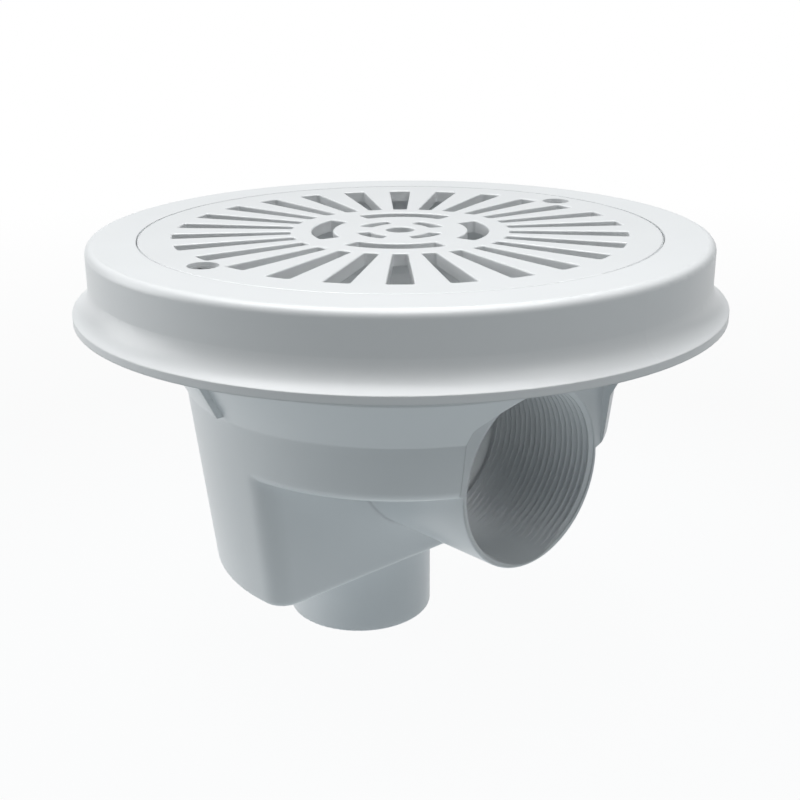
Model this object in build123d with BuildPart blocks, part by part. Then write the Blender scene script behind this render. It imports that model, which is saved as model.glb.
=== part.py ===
from build123d import *
import os
from math import acos, cos, degrees, radians, sin, sqrt, tan

# Pool main drain: a round moulded body with a threaded side outlet, a threaded bottom port and a
# slotted grille held down by two countersunk screws. Millimetres. The origin is the centre of the
# top face, +Z is up and the outlet points along +X. Depths are measured down from the top face.

# Rim and flange
rim_width = 16.1
rim_round = 2.5
cove_radius = 9.0
flange_reach = 5.4
flange_top_depth = 21.2
flange_thickness = 2.5
wall = 3.0

# Grille and its seat, the slots' rings counted from the centre outwards
grille_radius = 85.6
grille_gap = 0.3
grille_thickness = 4.0
grille_edge_round = 0.5
centre_hole_radius = 4.6
short_arc_land = 5.6
short_arc_width = 4.7
short_arc_span = 50.0
wide_arc_land = 7.4
wide_arc_width = 7.0
wide_arc_span = 66.6
slot_count = 26
slot_land = 6.9
slot_rim_land = 10.9
slot_inner_width = 4.6
slot_outer_width = 7.9
slot_beside_screw_cut = 2.0
slot_corner = 0.9

# Bowl and sump: an upright neck under the seat, a flare down to the crease, a drafted wall below it
seat_ledge = 4.6
flare_reach = 8.1
flare_angle = 27.5
crease_height = 18.7
bowl_floor_rise = 1.0
bowl_draft = 6.4
bowl_edge_round = 4.0
sump_flat_x = 14.5
sump_floor_drop = 13.4
sump_corner = 8.0
sump_edge_round = 2.0
sump_inner_edge_round = 1.0

# Side outlet, 2 inch pipe thread
outlet_depth = 69.0
outlet_wall = 0.8
outlet_edge_round = 0.4
outlet_draft = 1.1
outlet_thread_radius = 29.807
outlet_thread_length = 45.0
outlet_bore_radius = 28.328

# Flat pocket in the bowl's wall round the outlet's mouth
pocket_set_in = 10.6
pocket_side_land = 1.9
pocket_arch_land = 10.4
pocket_corner = 2.0

# Bottom port, 1 1/2 inch pipe thread
port_x = -24.0
port_wall = 2.6
port_length = 33.5
port_edge_round = 1.0
port_thread_radius = 23.902
port_thread_length = 28.0
port_bore_radius = 22.423

# Screws, their inserts and bosses
screw_rim_land = 8.6
screw_head_radius = 4.4
screw_head_land = 0.2
screw_head_gap = 0.35
screw_set_depth = 1.2
screw_shank_radius = 2.4
screw_clearance = 0.3
screw_length = 14.0
screw_recess_depth = 1.6
screw_recess_width = 1.0
screw_recess_span = 5.2
screw_recess_taper = 12
insert_radius = 3.4
insert_length = 10.0
insert_thread_gap = 0.05
boss_wall = 2.1
boss_height = 17.0
rib_thickness = 3.0
rib_reach = 2.3
rib_end_rise = 1.8

# Sizes that follow from the ones above
seat_radius = grille_radius + grille_gap
rim_radius = seat_radius + rim_width
flange_radius = rim_radius + flange_reach
flange_depth = flange_top_depth + flange_thickness
cove_angle = degrees(acos(1 - flange_reach / cove_radius))
cove_depth = flange_top_depth - cove_radius * sin(radians(cove_angle))
ledge_depth = grille_thickness + wall
skirt_inner_radius = rim_radius - wall
ring_rib_outer_radius = seat_radius + wall
short_arc_inner_radius = centre_hole_radius + short_arc_land
short_arc_outer_radius = short_arc_inner_radius + short_arc_width
wide_arc_inner_radius = short_arc_outer_radius + wide_arc_land
wide_arc_outer_radius = wide_arc_inner_radius + wide_arc_width
slot_inner_radius = wide_arc_outer_radius + slot_land
slot_outer_radius = grille_radius - slot_rim_land
outlet_mouth_radius = outlet_thread_radius + outlet_wall
outlet_axis = Axis((0, 0, -outlet_depth), (1, 0, 0))
neck_radius = grille_radius - seat_ledge
bowl_radius = neck_radius - flare_reach
bowl_depth = outlet_depth - bowl_floor_rise
crease_depth = bowl_depth - crease_height
flare_slope = tan(radians(flare_angle))
flare_top_depth = crease_depth - flare_reach / flare_slope
draft_slope = tan(radians(bowl_draft))
mouth_x = bowl_radius - pocket_set_in
pocket_half_width = outlet_mouth_radius + pocket_side_land
pocket_arch_radius = outlet_mouth_radius + pocket_arch_land
sump_depth = outlet_depth + outlet_mouth_radius + sump_floor_drop
sump_inner_x = sump_flat_x - wall
port_radius = port_thread_radius + port_wall
port_end_depth = sump_depth + port_length
screw_circle_radius = grille_radius - screw_rim_land
screw_axes = ((0, -screw_circle_radius), (0, screw_circle_radius))
countersink_depth = screw_head_radius - screw_shank_radius
boss_radius = insert_radius + boss_wall
rib_end_depth = crease_depth - rib_end_rise
rib_end_radius = bowl_radius + rib_end_rise * flare_slope
bite = 0.5


def cone_radius(depth):
    """Outer radius of the drafted wall below the crease."""
    return bowl_radius - (depth - crease_depth) * draft_slope


def sump_block(inset, top_depth, bottom_depth, corner, edge_round):
    """Drafted round block cut flat towards the outlet, its upright corners and floor edge rounded."""
    with BuildPart() as block:
        with BuildSketch(Plane.XZ):
            with BuildLine():
                Polyline(
                    (0, -top_depth),
                    (cone_radius(top_depth) - inset, -top_depth),
                    (cone_radius(bottom_depth) - inset, -bottom_depth),
                    (0, -bottom_depth),
                    close=True,
                )
            make_face()
        revolve(axis=Axis.Z)
        split(bisect_by=Plane.YZ.offset(sump_flat_x - inset), keep=Keep.BOTTOM)
        flat_edges = block.faces().sort_by(Axis.X)[-1].edges().sort_by(Axis.Y)
        fillet([flat_edges[0], flat_edges[-1]], corner)
        fillet(block.faces().sort_by(Axis.Z)[0].edges(), edge_round)
    return block.part


def pocket_outline(grow, bottom_depth):
    """Face of the pocket: straight sides and an arch round the outlet's axis, made larger by grow."""
    half = pocket_half_width + grow
    arch = pocket_arch_radius + grow
    crown = arch - outlet_depth
    shoulder = sqrt(arch**2 - half**2) - outlet_depth
    with BuildSketch(mode=Mode.PRIVATE) as outline:
        with BuildLine():
            ThreePointArc((-half, shoulder), (0, crown), (half, shoulder))
            Polyline((half, shoulder), (half, -bottom_depth), (-half, -bottom_depth), (-half, shoulder))
        make_face()
        fillet(outline.vertices().filter_by_position(Axis.Y, shoulder - 1, shoulder + 1), pocket_corner + grow)
    return outline.sketch


def outlet_tube(start_x):
    """The outlet's outside from start_x to the mouth, slightly smaller there and rounded at its edge."""
    root_radius = outlet_mouth_radius + (mouth_x - start_x) * tan(radians(outlet_draft))
    with BuildPart() as tube:
        with BuildSketch(Plane.XZ) as tube_section:
            with BuildLine():
                Polyline(
                    (start_x, -outlet_depth),
                    (start_x, root_radius - outlet_depth),
                    (mouth_x, outlet_mouth_radius - outlet_depth),
                    (mouth_x, -outlet_depth),
                    close=True,
                )
            make_face()
            fillet(tube_section.vertices().group_by(Axis.X)[-1].sort_by(Axis.Y)[-1], outlet_edge_round)
        revolve(axis=outlet_axis)
    return tube.part


sump_outside = sump_block(0, crease_depth, sump_depth, sump_corner, sump_edge_round)
sump_inside = sump_block(
    wall, crease_depth + bite, sump_depth - wall, sump_corner - wall, sump_inner_edge_round
)
outlet_outside = outlet_tube(0)
outlet_in_bowl = outlet_tube(sump_inner_x)

# The water's space in the bowl and the sump. The outlet's wall and the flat wall round its mouth
# stand in the bowl, so they are taken out of that space.
with BuildPart() as water_space:
    with BuildSketch(Plane.XZ):
        with BuildLine():
            Polyline(
                (0, 0),
                (neck_radius - wall, 0),
                (neck_radius - wall, -flare_top_depth),
                (bowl_radius - wall, -crease_depth),
                (cone_radius(bowl_depth - wall) - wall, -(bowl_depth - wall)),
                (0, -(bowl_depth - wall)),
                close=True,
            )
        make_face()
    revolve(axis=Axis.Z)
    with BuildSketch(Plane.YZ.offset(mouth_x - wall)):
        add(pocket_outline(wall, bowl_depth))
    extrude(amount=neck_radius, mode=Mode.SUBTRACT)
    add(outlet_in_bowl, mode=Mode.SUBTRACT)
    add(sump_inside)

with BuildPart() as drain_body:
    # Rim with its rounded top edge, hollow cove and thin flange
    with BuildSketch(Plane.XZ) as rim_section:
        with BuildLine():
            top = Line((0, 0), (rim_radius, 0))
            side = Line(top @ 1, (rim_radius, -cove_depth))
            cove = JernArc(side @ 1, (0, -1), cove_radius, cove_angle)
            edge = Line(cove @ 1, (flange_radius, -flange_depth))
            under = Line(edge @ 1, (0, -flange_depth))
            Line(under @ 1, top @ 0)
        make_face()
        fillet(rim_section.vertices().group_by(Axis.Y)[-1].sort_by(Axis.X)[-1], rim_round)
    revolve(axis=Axis.Z)

    # The underside is cored: one groove under the seat, one behind the skirt, a ring rib between
    with BuildSketch(Plane.XY.offset(-flange_depth)):
        Circle(seat_radius)
    extrude(amount=flange_depth - ledge_depth, mode=Mode.SUBTRACT)
    with BuildSketch(Plane.XY.offset(-flange_depth)):
        Circle(skirt_inner_radius)
        Circle(ring_rib_outer_radius, mode=Mode.SUBTRACT)
    extrude(amount=flange_depth - wall, mode=Mode.SUBTRACT)

    # Bowl with its neck, flare and drafted wall, and a rounded floor edge
    with BuildSketch(Plane.XZ) as bowl_section:
        with BuildLine():
            Polyline(
                (0, -grille_thickness),
                (neck_radius, -grille_thickness),
                (neck_radius, -flare_top_depth),
                (bowl_radius, -crease_depth),
                (cone_radius(bowl_depth), -bowl_depth),
                (0, -bowl_depth),
                close=True,
            )
        make_face()
        fillet(bowl_section.vertices().group_by(Axis.Y)[0].sort_by(Axis.X)[-1], bowl_edge_round)
    revolve(axis=Axis.Z)
    add(sump_outside)
    add(outlet_outside)

    # Flat pocket that lays the outlet's mouth open
    with BuildSketch(Plane.YZ.offset(mouth_x)):
        add(pocket_outline(0, sump_depth))
    extrude(amount=neck_radius, mode=Mode.SUBTRACT)

    # Bottom port
    with BuildSketch(Plane.XY.offset(-port_end_depth)):
        with Locations((port_x, 0)):
            Circle(port_radius)
    extrude(amount=port_end_depth - sump_depth + wall)
    fillet(drain_body.faces().sort_by(Axis.Z)[0].edges(), port_edge_round)

    # Screw bosses under the seat, each with a rib down the bowl's neck and flare
    with BuildSketch(Plane.XY.offset(-grille_thickness)):
        with Locations(*screw_axes):
            Circle(boss_radius)
    extrude(amount=-boss_height)
    with BuildSketch(Plane.YZ):
        with BuildLine():
            Polyline(
                (neck_radius - bite, -(ledge_depth - bite)),
                (neck_radius + rib_reach, -(ledge_depth - bite)),
                (neck_radius + rib_reach, -flare_top_depth),
                (rib_end_radius + rib_reach, -rib_end_depth),
                (rib_end_radius - bite, -rib_end_depth),
                (neck_radius - bite, -flare_top_depth),
                close=True,
            )
        make_face()
        mirror(about=Plane.YZ)
    extrude(amount=rib_thickness / 2, both=True)

    # Grille seat and the space for the water
    with BuildSketch():
        Circle(seat_radius)
    extrude(amount=-grille_thickness, mode=Mode.SUBTRACT)
    add(water_space.part, mode=Mode.SUBTRACT)

    # Outlet bore: thread length from the mouth, then the smaller bore into the sump
    with BuildSketch(Plane.YZ.offset(mouth_x)):
        with Locations((0, -outlet_depth)):
            Circle(outlet_thread_radius)
    extrude(amount=-outlet_thread_length, mode=Mode.SUBTRACT)
    with BuildSketch(Plane.YZ.offset(mouth_x)):
        with Locations((0, -outlet_depth)):
            Circle(outlet_bore_radius)
    extrude(amount=-(mouth_x - sump_inner_x + wall), mode=Mode.SUBTRACT)

    # Port bore: thread length from the end, then the smaller bore through the sump's floor
    with BuildSketch(Plane.XY.offset(-port_end_depth)):
        with Locations((port_x, 0)):
            Circle(port_thread_radius)
    extrude(amount=port_thread_length, mode=Mode.SUBTRACT)
    with BuildSketch(Plane.XY.offset(-port_end_depth)):
        with Locations((port_x, 0)):
            Circle(port_bore_radius)
    extrude(amount=port_end_depth - sump_depth + 2 * wall, mode=Mode.SUBTRACT)

    # Holes for the threaded inserts, with room for the screws' tips below them
    with BuildSketch(Plane.XY.offset(-grille_thickness)):
        with Locations(*screw_axes):
            Circle(insert_radius)
    extrude(amount=-insert_length, mode=Mode.SUBTRACT)
    with BuildSketch(Plane.XY.offset(-grille_thickness)):
        with Locations(*screw_axes):
            Circle(screw_shank_radius + screw_clearance)
    extrude(amount=-(boss_height - wall), mode=Mode.SUBTRACT)


def radial_slot(outer_radius):
    """One tapered slot along +X with rounded corners."""
    slope = (slot_outer_width - slot_inner_width) / (slot_outer_radius - slot_inner_radius)
    inner_half = slot_inner_width / 2
    outer_half = (slot_inner_width + slope * (outer_radius - slot_inner_radius)) / 2
    with BuildSketch(mode=Mode.PRIVATE) as slot:
        Polygon(
            (slot_inner_radius, -inner_half),
            (outer_radius, -outer_half),
            (outer_radius, outer_half),
            (slot_inner_radius, inner_half),
            align=None,
        )
        fillet(slot.vertices(), slot_corner)
    return slot.sketch


def arc_slot(inner_radius, outer_radius, span):
    """One slot along a ring, centred on +X, with rounded corners."""
    with BuildSketch(mode=Mode.PRIVATE) as slot:
        with BuildLine():
            outer = CenterArc((0, 0), outer_radius, -span / 2, span)
            inner = CenterArc((0, 0), inner_radius, -span / 2, span)
            Line(inner @ 0, outer @ 0)
            Line(inner @ 1, outer @ 1)
        make_face()
        fillet(slot.vertices(), slot_corner)
    return slot.sketch


long_slot = radial_slot(slot_outer_radius)
short_slot = radial_slot(slot_outer_radius - slot_beside_screw_cut)
slot_pitch = 360 / slot_count

with BuildPart() as grille:
    with BuildSketch():
        Circle(grille_radius)
    extrude(amount=-grille_thickness)
    with BuildSketch():
        for index in range(slot_count):
            angle = index * slot_pitch
            beside_screw = abs(cos(radians(angle))) < sin(radians(slot_pitch))
            with PolarLocations(0, 1, start_angle=angle):
                add(short_slot if beside_screw else long_slot)
        with PolarLocations(0, 4, start_angle=45):
            add(arc_slot(wide_arc_inner_radius, wide_arc_outer_radius, wide_arc_span))
        with PolarLocations(0, 4):
            add(arc_slot(short_arc_inner_radius, short_arc_outer_radius, short_arc_span))
        Circle(centre_hole_radius)
    extrude(amount=-grille_thickness, mode=Mode.SUBTRACT)
    fillet(grille.faces().sort_by(Axis.Z)[-1].edges(), grille_edge_round)
    with BuildSketch():
        with Locations(*screw_axes):
            Circle(screw_head_radius + screw_head_gap)
    extrude(amount=-screw_set_depth, mode=Mode.SUBTRACT)
    with Locations(*[(x, y, -screw_set_depth) for x, y in screw_axes]):
        CounterSinkHole(
            screw_shank_radius + screw_clearance,
            screw_head_radius + screw_head_gap,
            counter_sink_angle=90,
        )


# Countersunk screw with a cross recess, standing on the origin by its head
with BuildPart() as screw_shape:
    with BuildSketch(Plane.XZ):
        with BuildLine():
            Polyline(
                (0, 0),
                (screw_head_radius, 0),
                (screw_head_radius, -screw_head_land),
                (screw_shank_radius, -screw_head_land - countersink_depth),
                (screw_shank_radius, -screw_length + screw_shank_radius / 2),
                (screw_shank_radius / 2, -screw_length),
                (0, -screw_length),
                close=True,
            )
        make_face()
    revolve(axis=Axis.Z)
    with BuildSketch():
        Rectangle(screw_recess_width, screw_recess_span)
        Rectangle(screw_recess_span, screw_recess_width)
    extrude(amount=-screw_recess_depth, taper=screw_recess_taper, mode=Mode.SUBTRACT)

with BuildPart() as screw_front:
    with Locations((0, -screw_circle_radius, -screw_set_depth)):
        add(screw_shape.part)

with BuildPart() as screw_back:
    with Locations((0, screw_circle_radius, -screw_set_depth)):
        add(screw_shape.part)

# Threaded inserts, pressed into their bosses flush with the seat
with BuildPart() as insert_front:
    with BuildSketch(Plane.XY.offset(-grille_thickness)):
        with Locations((0, -screw_circle_radius)):
            Circle(insert_radius)
            Circle(screw_shank_radius + insert_thread_gap, mode=Mode.SUBTRACT)
    extrude(amount=-insert_length)

with BuildPart() as insert_back:
    with BuildSketch(Plane.XY.offset(-grille_thickness)):
        with Locations((0, screw_circle_radius)):
            Circle(insert_radius)
            Circle(screw_shank_radius + insert_thread_gap, mode=Mode.SUBTRACT)
    extrude(amount=-insert_length)

os.makedirs("parts", exist_ok=True)
drain_body.part.label = "drain_body"
grille.part.label = "grille"
screw_front.part.label = "screw_front"
screw_back.part.label = "screw_back"
insert_front.part.label = "insert_front"
insert_back.part.label = "insert_back"
export_step(drain_body.part, "parts/drain_body.step")
export_step(grille.part, "parts/grille.step")
export_step(screw_front.part, "parts/screw_front.step")
export_step(screw_back.part, "parts/screw_back.step")
export_step(insert_front.part, "parts/insert_front.step")
export_step(insert_back.part, "parts/insert_back.step")
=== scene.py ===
import bpy
import math
from mathutils import Matrix, Vector


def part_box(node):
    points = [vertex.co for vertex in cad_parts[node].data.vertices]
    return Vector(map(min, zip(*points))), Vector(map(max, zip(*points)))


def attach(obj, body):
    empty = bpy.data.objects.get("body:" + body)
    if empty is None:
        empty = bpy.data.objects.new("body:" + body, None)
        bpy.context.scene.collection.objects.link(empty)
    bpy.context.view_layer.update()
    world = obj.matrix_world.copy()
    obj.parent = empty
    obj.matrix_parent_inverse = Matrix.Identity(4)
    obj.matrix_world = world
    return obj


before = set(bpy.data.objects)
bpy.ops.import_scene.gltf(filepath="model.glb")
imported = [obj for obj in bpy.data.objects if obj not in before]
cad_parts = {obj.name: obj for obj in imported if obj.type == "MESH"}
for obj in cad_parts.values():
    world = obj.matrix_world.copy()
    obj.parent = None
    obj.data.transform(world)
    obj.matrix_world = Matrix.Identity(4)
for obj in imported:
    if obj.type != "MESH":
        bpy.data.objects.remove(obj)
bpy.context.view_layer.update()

MM = 0.001

# The drain's own sizes, as in its CAD source, in millimetres
MOUTH_X = 62.3
OUTLET_DEPTH = 69.0
OUTLET_ROOT_RADIUS = 29.807
OUTLET_THREAD_LENGTH = 45.0
PORT_X = -24.0
PORT_ROOT_RADIUS = 23.902
PORT_THREAD_LENGTH = 28.0
SCREW_CIRCLE_RADIUS = 77.0
FLOOR_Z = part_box("drain_body")[0].z

# Parallel pipe thread: pitch, rounded crests and roots, straight flanks between them
THREAD_PITCH = 2.309
THREAD_HEIGHT = 1.479
THREAD_STEPS = 120
THREAD_SMOOTH_ANGLE = math.radians(38)
MERGE_FINE = 0.001
MERGE_SLIVERS = 0.003

# The ridges stand on a thin sleeve, sunk into the bore's wall, that starts just behind the mouth's face
THREAD_SLEEVE = 0.15
THREAD_ROOT_LIFT = 0.15
THREAD_FACE = 0.02
MOUTH_CHAMFER = 0.8
CHAMFER_OVERLAP = 0.1
PAST_END = 1.0

# Half of one ridge, as places along the bore and heights under the root
RIDGE_HALF = (
    (0.0, 0.0),
    (0.146, 0.036),
    (0.281, 0.171),
    (0.8735, 1.308),
    (1.0085, 1.443),
    (1.1545, 1.479),
)

# The outlet's ridges fade out along the bottom of the bore, as if a smaller round bar had been pressed there
FADE_RADIUS = 23.0
FADE_DROP = 6.75

# The body's edges are softer below its crease, but not near the outlet's mouth
LOW_EDGES_START = -44.0
LOW_EDGES_FULL = -56.0
MOUTH_EDGES_START = 38.0
MOUTH_EDGES_FULL = 50.0

# Edges and grain of the moulded pieces
BODY_EDGES = 0.7
BODY_LOW_EDGES = 3.2
THREAD_EDGES = 0.3
GRILLE_EDGES = 0.3
GRAIN_HEIGHT = 0.004
BODY_COLOR = (0.80, 0.82, 0.83)
GRILLE_COLOR = (0.81, 0.83, 0.84)
BODY_ROUGHNESS = 0.34
GRILLE_ROUGHNESS = 0.30
STEEL_COLOR = (0.58, 0.59, 0.60)
BRASS_COLOR = (0.78, 0.60, 0.30)

# Camera, in the drain's own frame
CAMERA_PLACE = Vector((299.38, -265.07, 80.94)) * MM
CAMERA_LOOK = Vector((-0.70681, 0.62452, -0.33224))
CAMERA_ROLL = math.radians(-0.338)
CAMERA_LENS = 54.88

# Studio
SKY_TINT = (0.86, 0.95, 1.0, 1)
WHITE = (1, 1, 1, 1)
FLOOR_TINT = (0.26, 0.285, 0.295, 1)
FLOOR_SIZE = 60


# Modelling

def start_profile(name, first_point):
    """New object with one vertex at a point of the XZ plane, in edit mode."""
    bpy.ops.object.select_all(action="DESELECT")
    bpy.ops.mesh.primitive_plane_add(size=MM, location=(0, 0, 0))
    piece = bpy.context.object
    piece.name = name
    piece.data.name = name
    bpy.ops.object.mode_set(mode="EDIT")
    bpy.ops.mesh.select_mode(type="VERT")
    bpy.ops.mesh.select_all(action="SELECT")
    bpy.ops.mesh.merge(type="CENTER")
    bpy.ops.transform.translate(value=(first_point[0] * MM, 0, first_point[1] * MM))
    return piece


def draw_profile(points):
    """Extrude the chosen vertex from point to point of the XZ plane."""
    for before, after in zip(points, points[1:]):
        step = ((after[0] - before[0]) * MM, 0, (after[1] - before[1]) * MM)
        bpy.ops.mesh.extrude_vertices_move(TRANSFORM_OT_translate={"value": step})


def spin_round_x(piece, turns, pitch):
    """Turn the profile round the X axis, with a pitch for a thread, and merge its seams."""
    bpy.ops.object.mode_set(mode="OBJECT")
    screw = piece.modifiers.new("spin", "SCREW")
    screw.axis = "X"
    screw.angle = 2 * math.pi
    screw.screw_offset = pitch * MM
    screw.iterations = turns
    screw.steps = THREAD_STEPS
    screw.render_steps = THREAD_STEPS
    screw.use_merge_vertices = pitch == 0
    bpy.ops.object.modifier_apply(modifier=screw.name)
    bpy.ops.object.mode_set(mode="EDIT")
    bpy.ops.mesh.select_all(action="SELECT")
    bpy.ops.mesh.remove_doubles(threshold=MERGE_FINE * MM)


def close_solid(piece):
    bpy.ops.mesh.select_all(action="SELECT")
    bpy.ops.mesh.normals_make_consistent(inside=False)
    bpy.ops.object.mode_set(mode="OBJECT")
    return piece


def round_bar(name, profile):
    """Solid turned round the X axis from a profile that starts and ends on it."""
    piece = start_profile(name, profile[0])
    draw_profile(profile)
    spin_round_x(piece, 1, 0)
    return close_solid(piece)


def threaded_bar(name, root_radius, length):
    """Round bar with a thread that fits the bore's, from past the thread's end to past the mouth."""
    half = [(x, root_radius - THREAD_ROOT_LIFT - height) for x, height in RIDGE_HALF]
    half[-1] = (half[-1][0], root_radius - THREAD_HEIGHT)
    profile = half + [(THREAD_PITCH - x, radius) for x, radius in reversed(half[:-1])]
    start = -length - PAST_END - 2 * THREAD_PITCH
    turns = math.ceil((2 * PAST_END - start) / THREAD_PITCH)
    profile = [(start + x, radius) for x, radius in profile]
    piece = start_profile(name, profile[0])
    draw_profile(profile)
    spin_round_x(piece, turns, THREAD_PITCH)
    for end, side in ((-length - PAST_END, "clear_inner"), (PAST_END, "clear_outer")):
        bpy.ops.mesh.select_all(action="SELECT")
        bpy.ops.mesh.bisect(
            plane_co=(end * MM, 0, 0), plane_no=(1, 0, 0), use_fill=True, **{side: True}
        )
    return close_solid(piece)


def cut_away(piece, cutter):
    """Take one solid out of another and drop it."""
    cut = piece.modifiers.new("cut", "BOOLEAN")
    cut.operation = "DIFFERENCE"
    cut.solver = "EXACT"
    cut.object = cutter
    bpy.context.view_layer.objects.active = piece
    bpy.ops.object.modifier_apply(modifier=cut.name)
    bpy.data.objects.remove(cutter)


def pipe_thread(name, root_radius, length, mouth, turn, fade):
    """Ridges of one bore's thread, with a chamfered mouth, its centre placed at a point."""
    outside = root_radius + THREAD_SLEEVE
    crest = root_radius - THREAD_HEIGHT
    sleeve = round_bar(name, [
        (-THREAD_FACE, 0),
        (-THREAD_FACE, outside),
        (-length, outside),
        (-length, 0),
    ])
    cut_away(sleeve, threaded_bar(name + "_bar", root_radius, length))
    slope = (root_radius - crest) / MOUTH_CHAMFER
    past = MOUTH_CHAMFER + CHAMFER_OVERLAP
    cut_away(sleeve, round_bar(name + "_chamfer", [
        (PAST_END, 0),
        (PAST_END, root_radius + PAST_END * slope),
        (-past, root_radius - past * slope),
        (-past, 0),
    ]))
    if fade:
        bar = round_bar(name + "_fade", [
            (PAST_END, 0),
            (PAST_END, FADE_RADIUS),
            (-length - PAST_END, FADE_RADIUS),
            (-length - PAST_END, 0),
        ])
        bar.location.z = -FADE_DROP * MM
        bpy.context.view_layer.update()
        cut_away(sleeve, bar)
    bpy.ops.object.select_all(action="DESELECT")
    sleeve.select_set(True)
    bpy.context.view_layer.objects.active = sleeve
    bpy.ops.object.mode_set(mode="EDIT")
    bpy.ops.mesh.select_all(action="SELECT")
    bpy.ops.mesh.remove_doubles(threshold=MERGE_SLIVERS * MM)
    bpy.ops.object.mode_set(mode="OBJECT")
    bpy.ops.object.shade_smooth_by_angle(angle=THREAD_SMOOTH_ANGLE)
    sleeve.rotation_euler = (0, turn, 0)
    sleeve.location = Vector(mouth) * MM
    bpy.ops.object.transform_apply(location=True, rotation=True, scale=True)
    return sleeve


outlet_mouth = (MOUTH_X, 0, -OUTLET_DEPTH)
port_mouth = (PORT_X, 0, FLOOR_Z / MM)
outlet_thread = pipe_thread(
    "outlet_thread", OUTLET_ROOT_RADIUS, OUTLET_THREAD_LENGTH, outlet_mouth, 0, fade=True
)
port_thread = pipe_thread(
    "port_thread", PORT_ROOT_RADIUS, PORT_THREAD_LENGTH, port_mouth, math.pi / 2, fade=False
)
for thread in (outlet_thread, port_thread):
    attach(thread, "root")


# Finishes

def new_group(name, inputs, outputs):
    """Empty shader node group with its named sockets."""
    group = bpy.data.node_groups.new(name, "ShaderNodeTree")
    for socket_name, kind, value in inputs:
        socket = group.interface.new_socket(name=socket_name, in_out="INPUT", socket_type=kind)
        socket.default_value = value
    for socket_name, kind in outputs:
        group.interface.new_socket(name=socket_name, in_out="OUTPUT", socket_type=kind)
    return group, group.nodes.new("NodeGroupInput"), group.nodes.new("NodeGroupOutput")


def add_node(tree, kind, settings=None, values=None):
    """New node with its settings and the values of its unlinked sockets."""
    node = tree.nodes.new(kind)
    for key, value in (settings or {}).items():
        setattr(node, key, value)
    for key, value in (values or {}).items():
        node.inputs[key].default_value = value
    return node


def moulded_tone_group():
    """Faint cloudy change of a moulded part's colour, slow over the surface."""
    group, given, out = new_group(
        "moulded_tone",
        (
            ("Color", "NodeSocketColor", (0.8, 0.8, 0.8, 1)),
            ("Scale", "NodeSocketFloat", 18.0),
            ("Depth", "NodeSocketFloat", 0.02),
        ),
        (("Color", "NodeSocketColor"),),
    )
    links = group.links
    place = add_node(group, "ShaderNodeTexCoord")
    clouds = add_node(group, "ShaderNodeTexNoise", values={"Detail": 3.0, "Roughness": 0.55})
    spread = add_node(group, "ShaderNodeMapRange", values={
        "From Min": 0.3, "From Max": 0.7, "To Max": 1.0,
    })
    lowest = add_node(group, "ShaderNodeMath", {"operation": "SUBTRACT"}, {0: 1.0})
    tone = add_node(group, "ShaderNodeVectorMath", {"operation": "SCALE"})
    links.new(place.outputs["Object"], clouds.inputs["Vector"])
    links.new(given.outputs["Scale"], clouds.inputs["Scale"])
    links.new(given.outputs["Depth"], lowest.inputs[1])
    links.new(clouds.outputs["Fac"], spread.inputs["Value"])
    links.new(lowest.outputs[0], spread.inputs["To Min"])
    links.new(given.outputs["Color"], tone.inputs[0])
    links.new(spread.outputs["Result"], tone.inputs["Scale"])
    links.new(tone.outputs[0], out.inputs["Color"])
    return group


def satin_skin_group():
    """Fine grain of a satin mould: a height for bump, and a roughness that changes a little."""
    group, given, out = new_group(
        "satin_skin",
        (
            ("Roughness", "NodeSocketFloat", 0.3),
            ("Change", "NodeSocketFloat", 0.05),
            ("Grain Scale", "NodeSocketFloat", 2500.0),
        ),
        (("Height", "NodeSocketFloat"), ("Roughness", "NodeSocketFloat")),
    )
    links = group.links
    place = add_node(group, "ShaderNodeTexCoord")
    grain = add_node(group, "ShaderNodeTexNoise", values={"Detail": 2.0})
    patches = add_node(group, "ShaderNodeTexNoise", values={"Scale": 60.0, "Detail": 3.0})
    centred = add_node(group, "ShaderNodeMath", {"operation": "SUBTRACT"}, {1: 0.5})
    change = add_node(group, "ShaderNodeMath", {"operation": "MULTIPLY_ADD"})
    links.new(place.outputs["Object"], grain.inputs["Vector"])
    links.new(place.outputs["Object"], patches.inputs["Vector"])
    links.new(given.outputs["Grain Scale"], grain.inputs["Scale"])
    links.new(patches.outputs["Fac"], centred.inputs[0])
    links.new(centred.outputs[0], change.inputs[0])
    links.new(given.outputs["Change"], change.inputs[1])
    links.new(given.outputs["Roughness"], change.inputs[2])
    links.new(grain.outputs["Fac"], out.inputs["Height"])
    links.new(change.outputs[0], out.inputs["Roughness"])
    return group


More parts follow.
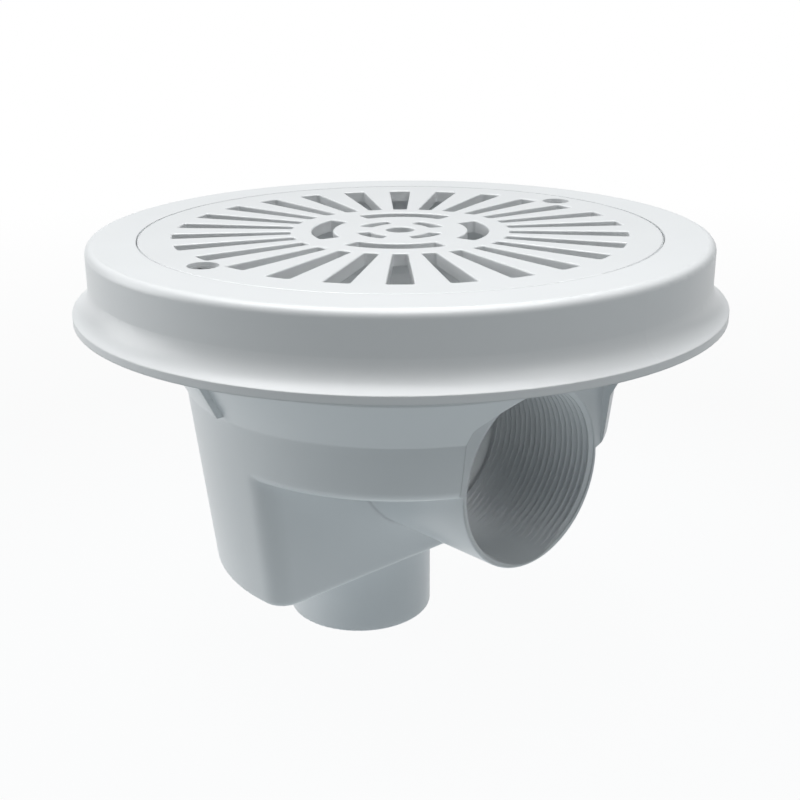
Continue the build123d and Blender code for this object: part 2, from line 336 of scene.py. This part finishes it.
def turned_marks_group():
    """Fine rings left by turning, round an upright axis through a point."""
    group, given, out = new_group(
        "turned_marks",
        (
            ("Centre", "NodeSocketVector", (0, 0, 0)),
            ("Rings per metre", "NodeSocketFloat", 5000.0),
            ("Roughness", "NodeSocketFloat", 0.3),
        ),
        (("Height", "NodeSocketFloat"), ("Roughness", "NodeSocketFloat")),
    )
    links = group.links
    place = add_node(group, "ShaderNodeTexCoord")
    offset = add_node(group, "ShaderNodeVectorMath", {"operation": "SUBTRACT"})
    flat = add_node(group, "ShaderNodeVectorMath", {"operation": "MULTIPLY"}, {1: (1, 1, 0)})
    length = add_node(group, "ShaderNodeVectorMath", {"operation": "LENGTH"})
    rings = add_node(
        group, "ShaderNodeTexNoise", {"noise_dimensions": "1D"}, {"Detail": 2.0, "Scale": 1.0}
    )
    ring_place = add_node(group, "ShaderNodeMath", {"operation": "MULTIPLY"})
    smear = add_node(group, "ShaderNodeTexNoise", values={"Scale": 900.0, "Detail": 2.0})
    rough = add_node(group, "ShaderNodeMath", {"operation": "MULTIPLY_ADD"}, {1: 0.18})
    links.new(place.outputs["Object"], offset.inputs[0])
    links.new(given.outputs["Centre"], offset.inputs[1])
    links.new(offset.outputs[0], flat.inputs[0])
    links.new(flat.outputs[0], length.inputs[0])
    links.new(length.outputs["Value"], ring_place.inputs[0])
    links.new(given.outputs["Rings per metre"], ring_place.inputs[1])
    links.new(ring_place.outputs[0], rings.inputs["W"])
    links.new(place.outputs["Object"], smear.inputs["Vector"])
    links.new(smear.outputs["Fac"], rough.inputs[0])
    links.new(given.outputs["Roughness"], rough.inputs[2])
    links.new(rings.outputs["Fac"], out.inputs["Height"])
    links.new(rough.outputs[0], out.inputs["Roughness"])
    return group


moulded_tone = moulded_tone_group()
satin_skin = satin_skin_group()
turned_marks = turned_marks_group()


def soften_low_edges(tree, radius_socket, edge_radius, low_edge_radius):
    """Widen the soft edges low down on the body, short of the outlet's mouth."""
    place = add_node(tree, "ShaderNodeTexCoord")
    axes = add_node(tree, "ShaderNodeSeparateXYZ")
    low = add_node(tree, "ShaderNodeMapRange", values={
        "From Min": LOW_EDGES_FULL * MM, "From Max": LOW_EDGES_START * MM, "To Min": 1.0, "To Max": 0.0,
    })
    inboard = add_node(tree, "ShaderNodeMapRange", values={
        "From Min": MOUTH_EDGES_START * MM, "From Max": MOUTH_EDGES_FULL * MM, "To Min": 1.0, "To Max": 0.0,
    })
    both = add_node(tree, "ShaderNodeMath", {"operation": "MULTIPLY"})
    widen = add_node(tree, "ShaderNodeMapRange", values={
        "To Min": edge_radius * MM, "To Max": low_edge_radius * MM,
    })
    tree.links.new(place.outputs["Object"], axes.inputs[0])
    tree.links.new(axes.outputs["Z"], low.inputs["Value"])
    tree.links.new(axes.outputs["X"], inboard.inputs["Value"])
    tree.links.new(low.outputs["Result"], both.inputs[0])
    tree.links.new(inboard.outputs["Result"], both.inputs[1])
    tree.links.new(both.outputs[0], widen.inputs["Value"])
    tree.links.new(widen.outputs["Result"], radius_socket)


def moulded_plastic(name, color, roughness, edge_radius, low_edge_radius=None):
    """Satin moulded plastic with faint clouds, fine grain and edges as soft as a mould leaves them."""
    material = bpy.data.materials.new(name)
    material.use_nodes = True
    tree = material.node_tree
    shader = tree.nodes["Principled BSDF"]
    shader.inputs["IOR"].default_value = 1.5
    tone = add_node(tree, "ShaderNodeGroup", {"node_tree": moulded_tone}, {"Color": (*color, 1)})
    skin = add_node(tree, "ShaderNodeGroup", {"node_tree": satin_skin}, {"Roughness": roughness})
    soft_edges = add_node(tree, "ShaderNodeBevel", {"samples": 6}, {"Radius": edge_radius * MM})
    bump = add_node(tree, "ShaderNodeBump", values={"Strength": 1.0, "Distance": GRAIN_HEIGHT * MM})
    if low_edge_radius:
        soften_low_edges(tree, soft_edges.inputs["Radius"], edge_radius, low_edge_radius)
    tree.links.new(tone.outputs["Color"], shader.inputs["Base Color"])
    tree.links.new(skin.outputs["Roughness"], shader.inputs["Roughness"])
    tree.links.new(skin.outputs["Height"], bump.inputs["Height"])
    tree.links.new(soft_edges.outputs["Normal"], bump.inputs["Normal"])
    tree.links.new(bump.outputs["Normal"], shader.inputs["Normal"])
    return material


def turned_metal(name, color, roughness, centre):
    """Turned metal with fine rings round its own axis."""
    material = bpy.data.materials.new(name)
    material.use_nodes = True
    tree = material.node_tree
    shader = tree.nodes["Principled BSDF"]
    shader.inputs["Metallic"].default_value = 1.0
    tone = add_node(tree, "ShaderNodeGroup", {"node_tree": moulded_tone}, {
        "Color": (*color, 1), "Scale": 300.0, "Depth": 0.12,
    })
    marks = add_node(tree, "ShaderNodeGroup", {"node_tree": turned_marks}, {
        "Centre": centre, "Roughness": roughness,
    })
    bump = add_node(tree, "ShaderNodeBump", values={"Strength": 0.6, "Distance": 0.01 * MM})
    tree.links.new(tone.outputs["Color"], shader.inputs["Base Color"])
    tree.links.new(marks.outputs["Roughness"], shader.inputs["Roughness"])
    tree.links.new(marks.outputs["Height"], bump.inputs["Height"])
    tree.links.new(bump.outputs["Normal"], shader.inputs["Normal"])
    return material


def dress(piece, material):
    piece.data.materials.clear()
    piece.data.materials.append(material)


SCREW_PLACES = {"front": -SCREW_CIRCLE_RADIUS * MM, "back": SCREW_CIRCLE_RADIUS * MM}
body_white = moulded_plastic("white_abs_body", BODY_COLOR, BODY_ROUGHNESS, BODY_EDGES, BODY_LOW_EDGES)
thread_white = moulded_plastic("white_abs_body_threads", BODY_COLOR, BODY_ROUGHNESS, THREAD_EDGES)
grille_white = moulded_plastic("white_abs_grille", GRILLE_COLOR, GRILLE_ROUGHNESS, GRILLE_EDGES)
dress(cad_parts["drain_body"], body_white)
dress(outlet_thread, thread_white)
dress(port_thread, thread_white)
dress(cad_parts["grille"], grille_white)
for side, screw_y in SCREW_PLACES.items():
    steel = turned_metal("stainless_" + side, STEEL_COLOR, 0.26, (0, screw_y, 0))
    brass = turned_metal("brass_" + side, BRASS_COLOR, 0.3, (0, screw_y, 0))
    dress(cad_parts["screw_" + side], steel)
    dress(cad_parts["insert_" + side], brass)


# Studio

def add_camera():
    """Camera at the photograph's place and angle."""
    look = CAMERA_LOOK.normalized()
    right = look.cross(Vector((0, 0, 1))).normalized()
    up = right.cross(look)
    turned_right = right * math.cos(CAMERA_ROLL) + up * math.sin(CAMERA_ROLL)
    turned_up = up * math.cos(CAMERA_ROLL) - right * math.sin(CAMERA_ROLL)
    camera_data = bpy.data.cameras.new("camera")
    camera_data.lens = CAMERA_LENS
    camera_data.sensor_width = 36
    camera_data.sensor_fit = "HORIZONTAL"
    camera = bpy.data.objects.new("camera", camera_data)
    matrix = Matrix((turned_right, turned_up, -look)).transposed().to_4x4()
    matrix.translation = CAMERA_PLACE
    camera.matrix_world = matrix
    bpy.context.scene.collection.objects.link(camera)
    bpy.context.scene.camera = camera


def area_light(name, place, size, power, target=(0, 0, -0.05)):
    """Soft rectangular light aimed at a point."""
    data = bpy.data.lights.new(name, "AREA")
    data.shape = "RECTANGLE"
    data.size, data.size_y = size
    data.energy = power
    light = bpy.data.objects.new(name, data)
    light.location = place
    light.rotation_euler = (Vector(target) - Vector(place)).to_track_quat("-Z", "Y").to_euler()
    bpy.context.scene.collection.objects.link(light)


def seen_directly(tree):
    """1 for rays from the camera and for those that metal or glass sends on, else 0."""
    path = add_node(tree, "ShaderNodeLightPath")
    glossy = add_node(tree, "ShaderNodeMath", {"operation": "MAXIMUM"})
    either = add_node(tree, "ShaderNodeMath", {"operation": "MAXIMUM"})
    tree.links.new(path.outputs["Is Glossy Ray"], glossy.inputs[0])
    tree.links.new(path.outputs["Is Transmission Ray"], glossy.inputs[1])
    tree.links.new(path.outputs["Is Camera Ray"], either.inputs[0])
    tree.links.new(glossy.outputs[0], either.inputs[1])
    return either.outputs[0]


def studio_world(strength):
    """Even soft light from all round, that the camera sees as a white background."""
    world = bpy.data.worlds.new("studio")
    bpy.context.scene.world = world
    world.use_nodes = True
    tree = world.node_tree
    around = tree.nodes["Background"]
    around.inputs["Color"].default_value = SKY_TINT
    around.inputs["Strength"].default_value = strength
    white = add_node(tree, "ShaderNodeBackground", values={"Color": WHITE, "Strength": 1.0})
    path = add_node(tree, "ShaderNodeLightPath")
    mix = add_node(tree, "ShaderNodeMixShader")
    tree.links.new(path.outputs["Is Camera Ray"], mix.inputs[0])
    tree.links.new(around.outputs[0], mix.inputs[1])
    tree.links.new(white.outputs[0], mix.inputs[2])
    tree.links.new(mix.outputs[0], tree.nodes["World Output"].inputs[0])


def white_floor(shade_share, glow):
    """Wide pale floor, lit from below near the drain, that the camera sees as white with a faint shadow."""
    bpy.ops.object.select_all(action="DESELECT")
    bpy.ops.mesh.primitive_plane_add(size=FLOOR_SIZE, location=(0, 0, FLOOR_Z))
    floor = bpy.context.object
    floor.name = "floor"
    material = bpy.data.materials.new("floor_white")
    material.use_nodes = True
    tree = material.node_tree
    paper = tree.nodes["Principled BSDF"]
    paper.inputs["Base Color"].default_value = FLOOR_TINT
    paper.inputs["Roughness"].default_value = 1.0
    paper.inputs["Specular IOR Level"].default_value = 0.0
    paper.inputs["Emission Color"].default_value = SKY_TINT
    white = add_node(tree, "ShaderNodeEmission", values={"Color": WHITE, "Strength": 1.0})
    clear = add_node(tree, "ShaderNodeBsdfTransparent")
    place = add_node(tree, "ShaderNodeTexCoord")
    away = add_node(tree, "ShaderNodeVectorMath", {"operation": "LENGTH"})
    fade = add_node(tree, "ShaderNodeMapRange", values={
        "From Min": 0.15, "From Max": 0.9, "To Min": 1 - shade_share, "To Max": 1.0,
    })
    lit = add_node(tree, "ShaderNodeMapRange", values={
        "From Min": 0.1, "From Max": 0.3, "To Min": glow, "To Max": 0.0,
    })
    share = add_node(tree, "ShaderNodeMath", {"operation": "MULTIPLY"})
    mix = add_node(tree, "ShaderNodeMixShader")
    geometry = add_node(tree, "ShaderNodeNewGeometry")
    from_below = add_node(tree, "ShaderNodeMixShader")
    tree.links.new(place.outputs["Object"], away.inputs[0])
    tree.links.new(away.outputs["Value"], fade.inputs["Value"])
    tree.links.new(away.outputs["Value"], lit.inputs["Value"])
    tree.links.new(lit.outputs["Result"], paper.inputs["Emission Strength"])
    tree.links.new(fade.outputs["Result"], share.inputs[0])
    tree.links.new(seen_directly(tree), share.inputs[1])
    tree.links.new(share.outputs[0], mix.inputs[0])
    tree.links.new(paper.outputs[0], mix.inputs[1])
    tree.links.new(white.outputs[0], mix.inputs[2])
    tree.links.new(geometry.outputs["Backfacing"], from_below.inputs[0])
    tree.links.new(mix.outputs[0], from_below.inputs[1])
    tree.links.new(clear.outputs[0], from_below.inputs[2])
    tree.links.new(from_below.outputs[0], tree.nodes["Material Output"].inputs["Surface"])
    floor.data.materials.append(material)


add_camera()
bpy.context.scene.view_settings.view_transform = "Standard"
studio_world(0.06)
white_floor(0.08, 0.46)
area_light("overhead_softbox", (-0.4, 0.0, 3.0), (3.0, 3.0), 130.0)
area_light("left_softbox", (-1.0, -0.83, 0.15), (0.8, 0.8), 6.5)
area_light("right_softbox", (1.0, 0.2, 1.15), (1.0, 1.0), 5.0)
